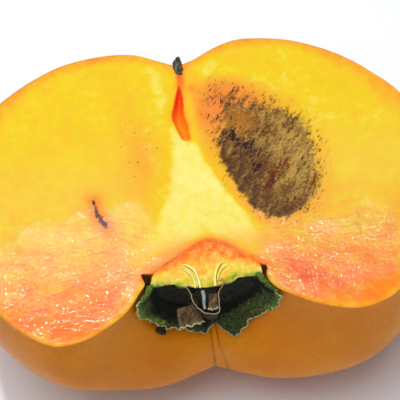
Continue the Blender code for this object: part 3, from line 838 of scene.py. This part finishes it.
STRANDS = (
    ([(-3.6, -14.1), (-2.7, -14.4), (-1.6, -15.5), (-1.05, -17.2), (-0.85, -18.9)], 0.2),
    ([(-3.7, -15), (-2.9, -15.4), (-2.1, -16.4), (-1.75, -17.6), (-1.7, -18.8)], 0.15),
    ([(-4.0, -14.6), (-3.1, -14.9), (-2.1, -15.8), (-1.45, -17.1), (-1.3, -18.5)], 0.09),
    ([(3.5, -14.6), (2.8, -15), (2.1, -16.3), (1.75, -17.7), (1.75, -18.9)], 0.2),
    ([(4.2, -15.2), (3.3, -15.7), (2.6, -16.6), (2.2, -17.9)], 0.09),
)


def build_strands():
    parts = []
    for line, radius in STRANDS:
        curve = smooth_curve([(*p, 0) for p in line], 8)
        share = np.linspace(0, 1, len(curve))
        curve[:, 2] = 0.12 + 0.28 * np.sin(pi * share**0.8)
        parts.append(tube(curve, radius * (0.35 + 0.65 * smooth_step(share, 0, 0.25))))
    points, faces = merged(parts)
    tones = [(0.2, "e8dc5e"), (0.5, "f6ee86"), (0.8, "fdf9c0")]
    material = dry_material("pale_strand", tones, 1.6, roughness=0.4, depth=0.05)
    make_piece("pale_strands", points, faces, [material], [], {})


def build_sepal(name, node, rim, green_arc, fresh_arc):
    angles = [radians(a) for a, _, _ in rim]
    steps = 130
    turn = np.linspace(angles[0], angles[-1], steps)
    falling = -np.array(angles)
    distance = np.interp(-turn, falling, [d for _, d, _ in rim])
    height = np.interp(-turn, falling, [h for _, _, h in rim])
    jagged = rough([(a * 7, 0, 3) for a in turn], 1.1, 0.5) + rough([(a * 7, 9, 3) for a in turn], 2.9, 0.16)
    distance, height = distance + jagged, height - 0.5 * jagged
    share = np.linspace(0, 1, 30)
    base_distance, base_height = SEPAL_BASE
    spread = share**1.25
    r = base_distance + (distance[:, None] - base_distance) * spread
    r += 0.25 * np.sin(9 * turn)[:, None] * share
    y = base_height + (height[:, None] - base_height) * share**0.9
    middle = np.stack([r * np.cos(turn)[:, None], y, r * np.sin(turn)[:, None]], axis=-1)
    lumps = rough(middle.reshape(-1, 3), 0.9, 0.6) + rough(middle.reshape(-1, 3), 2.6, 0.28)
    outward = np.stack([np.cos(turn), np.zeros(steps), np.sin(turn)], axis=-1)
    middle += outward[:, None] * lumps.reshape(steps, -1)[..., None] * (0.25 + 0.75 * share[:, None])
    middle[..., 2] = np.minimum(middle[..., 2], 0.0)
    thickness = np.interp(share, [0, 0.5, 0.9, 1], [1.1, 0.85, 0.45, 0.16])[None, :] * np.ones((steps, 1))
    points, faces, u, v, _ = thick_sheet(middle, thickness)
    points[:, 2] = np.minimum(points[:, 2], 0.1)
    at = np.degrees(turn[0] + (turn[-1] - turn[0]) * u)

    def within(arc, soft=8):
        return smooth_step(at, arc[0] - soft, arc[0]) * (1 - smooth_step(at, arc[1], arc[1] + soft))

    near_cut = smooth_step(points[:, 2], -0.55, -0.1)
    fields = {
        "rim": np.maximum(smooth_step(v, 0.9, 1.0), near_cut * smooth_step(v, 0.25, 0.9) * 0.6),
        "green": np.clip(smooth_step(v, 0.6, 0.85) * 0.8 + smooth_step(v, 0.2, 0.5) * within(green_arc), 0, 1),
        "fresh": np.clip(smooth_step(v, 0.7, 0.95) * within(fresh_arc) + near_cut * (1 - v), 0, 1),
    }
    make_piece(name, points, faces, [sepal_material()], [node], fields)


def build_stalk():
    """The split stalk: a thin sheath with rolled ends, the core in it, and two dry bracts."""
    wall = [
        (-2.4, -18.3), (-3.1, -18.1), (-3.2, -18.7), (-2.7, -19.5), (-2.5, -20.9), (-1.9, -22.3), (-0.9, -23.4), (0.4, -23.9),
        (1.5, -23.9), (2.0, -23.3), (2.05, -21.6), (2.2, -19.9), (2.9, -19), (3.3, -18.3), (3, -17.7), (2.6, -18),
    ]
    curve = smooth_curve([(*p, 0) for p in wall], 6)
    drop = np.linspace(0, 1, 10)
    middle = np.repeat(curve[:, None], len(drop), axis=1)
    middle[..., 2] = 0.0 - 2.1 * drop
    middle[..., 0] *= 1 - 0.3 * drop
    middle += rough(middle.reshape(-1, 3), 1.2, 0.35).reshape(len(curve), -1)[..., None] * np.array([0.5, 0.5, 0.2])
    points, faces, _, v, _ = thick_sheet(middle, 0.14)
    tones = [(0.3, "140e08"), (0.5, "33281a"), (0.7, "6e5c40")]
    sheath = dry_material("sheath", tones, 2.0, edge_tone="9c8862", depth=0.1)
    make_piece("stalk_sheath_rolled", points, faces, [sheath], ["stalk_sheath"], {"rim": 1 - smooth_step(v, 0, 0.22)})

    line = smooth_curve([(-0.55, -19.3, -0.4), (-0.45, -20.4, -0.3), (-0.6, -21.5, -0.35), (-0.55, -22.7, -0.5)], 8)
    points, faces = tube(line, np.linspace(0.36, 0.26, len(line)), 14)
    tones = [(0.3, "46544a"), (0.5, "7c8a7c"), (0.7, "a7b1a0")]
    core = dry_material("stalk_core", tones, 1.5, roughness=0.5, depth=0.08)
    make_piece("stalk_core_bar", points, faces, [core], ["stalk_core"])

    tones = [(0.28, "1e140a"), (0.45, "4a3821"), (0.6, "6c573a"), (0.75, "93805c")]
    bract = dry_material("dry_bract", tones, 1.4, radians(-35), edge_tone="b8a882", depth=0.2)
    for name, node, centre, size, tilt, turn in (
        ("bract_right_curled", "bract_right", (0.95, -21.6, -0.5), (1.5, 2.7), 0.15, -0.1),
        ("bract_left_curled", "bract_left", (-3.4, -22.6, -2.6), (4, 3.4), 0.42, 0.18),
    ):
        s, t = np.meshgrid(np.linspace(-0.5, 0.5, 34), np.linspace(-0.5, 0.5, 34), indexing="ij")
        width = 0.8 + 0.35 * (0.5 - t)
        jag = rough([(a * 6, 1, size[0]) for a in s.ravel()], 1.4, 0.16).reshape(s.shape) * (0.5 - t)
        x, y = s * size[0] * width, (t - jag) * size[1]
        z = 0.35 * np.cos(2.4 * s) * size[0] / 2 + 0.15 * np.sin(5 * t)
        flat = np.stack([x, y, z], axis=-1)
        flat += rough(flat.reshape(-1, 3), 1.1, 0.3).reshape(34, 34)[..., None] * np.array([0.2, 0.2, 1])
        pose = Matrix.Rotation(turn, 3, "Z") @ Matrix.Rotation(tilt, 3, "X")
        middle = flat @ np.array(pose).T + np.array(centre)
        points, faces, _, v, _ = thick_sheet(middle, 0.28)
        points[:, 2] = np.minimum(points[:, 2], 0.1)
        make_piece(name, points, faces, [bract], [node], {"rim": 1 - smooth_step(v, 0.02, 0.14)})


def build_scrap(name, node, centre, size):
    """A dried, shrivelled crumb."""
    shape = bmesh.new()
    bmesh.ops.create_icosphere(shape, subdivisions=4, radius=1)
    points = np.array([tuple(v.co) for v in shape.verts])
    faces = [tuple(v.index for v in f.verts) for f in shape.faces]
    shape.free()
    points *= 1 + rough(points, 1.5, 0.7)[:, None] + rough(points, 4, 0.35)[:, None]
    points = points * np.array(size) + np.array(centre)
    points[:, 2] = np.minimum(points[:, 2], 0.1)
    tones = [(0.3, "080503"), (0.5, "1d130a"), (0.7, "46351d")]
    make_piece(name, points, faces, [dry_material(name, tones, 2.2, depth=0.12)], node)


def build_style():
    way = [(0.15, 24.4, -1), (0.1, 25.4, -0.35), (-0.1, 26.6, -0.2), (0.1, 27.6, -0.35), (-0.05, 28.5, -0.8)]
    line = smooth_curve(way, 8)
    share = np.linspace(0, 1, len(line))
    points, faces = tube(line, np.interp(share, [0, 0.3, 0.6, 0.85, 1], [0.7, 0.85, 0.8, 0.5, 0.15]), 24)
    points += rough(points, 1.3, 0.45)[:, None] * np.array([0.6, 0.3, 0.6])
    tones = [(0.3, "11110c"), (0.48, "3c3d33"), (0.62, "6d6b5a"), (0.8, "a09a80")]
    material = dry_material("dry_style", tones, 1.7, depth=0.2)
    make_piece("style_tip_dried", points, faces, [material], ["style_tip"])


build_calyx_disc()
build_strands()
build_sepal("sepal_right_cup", "sepal_right", SEPAL_RIM_RIGHT, (-76, -14), (-30, 0))
build_sepal("sepal_left_cup", "sepal_left", SEPAL_RIM_LEFT, (-200, -165), (-190, -140))
build_stalk()
build_scrap("pit_crumb", ["pit_scrap"], (-10.0, -16.2, -0.7), (0.55, 0.7, 0.5))
build_scrap("dried_scrap", [], (-8.4, -21.6, -8.4), (0.9, 0.5, 1.1))
build_style()

# ---------------------------------------------------------------- floor, light and camera
def build_floor():
    bpy.ops.mesh.primitive_plane_add(size=4)
    floor = bpy.context.object
    floor.name = "floor"
    g = Graph("pale_floor")
    g.set(Base_Color=linear("f0f3fa"), Roughness=0.8, Specular_IOR_Level=0.1)
    floor.data.materials.append(g.material)


def area_light(name, direction, distance, size, power, color=(1, 1, 1)):
    """A soft square light that looks at the fruit from a direction."""
    light = bpy.data.lights.new(name, "AREA")
    light.shape, light.size, light.energy, light.color = "SQUARE", size, power, color
    obj = bpy.data.objects.new(name, light)
    way = Vector(direction).normalized()
    obj.location = Vector((0, 0, 0.03)) + way * distance
    obj.rotation_euler = (-way).to_track_quat("-Z", "Y").to_euler()
    bpy.context.scene.collection.objects.link(obj)


def build_light():
    world = bpy.data.worlds.new("studio")
    bpy.context.scene.world = world
    world.use_nodes = True
    world.node_tree.nodes["Background"].inputs["Color"].default_value = (0.95, 0.96, 1, 1)
    world.node_tree.nodes["Background"].inputs["Strength"].default_value = 0.27
    area_light("key", (-0.12, -0.08, 1), 0.9, 0.65, 4.9)
    area_light("spark", (-0.15, 0.3, 1), 0.7, 0.036, 2.1)
    bpy.context.scene.view_settings.view_transform = "Standard"
    bpy.context.scene.view_settings.look = "None"


ELEVATION = radians(60)
ROLL = radians(-7.2)
DISTANCE = 0.4
LENS, SENSOR = 207, 36


def build_camera():
    data = bpy.data.cameras.new("camera")
    data.lens, data.sensor_width = LENS, SENSOR
    data.shift_x, data.shift_y = 0.01625, -0.02
    data.clip_start, data.clip_end = 0.01, 10
    camera = bpy.data.objects.new("camera", data)
    back = Vector((0, -cos(ELEVATION), sin(ELEVATION)))
    camera.location = Vector(ORIGIN) + back * DISTANCE
    turned = (-back).to_track_quat("-Z", "Y").to_matrix() @ Matrix.Rotation(ROLL, 3, "Z")
    camera.rotation_euler = turned.to_euler()
    bpy.context.scene.collection.objects.link(camera)
    bpy.context.scene.camera = camera


build_floor()
build_light()
build_camera()
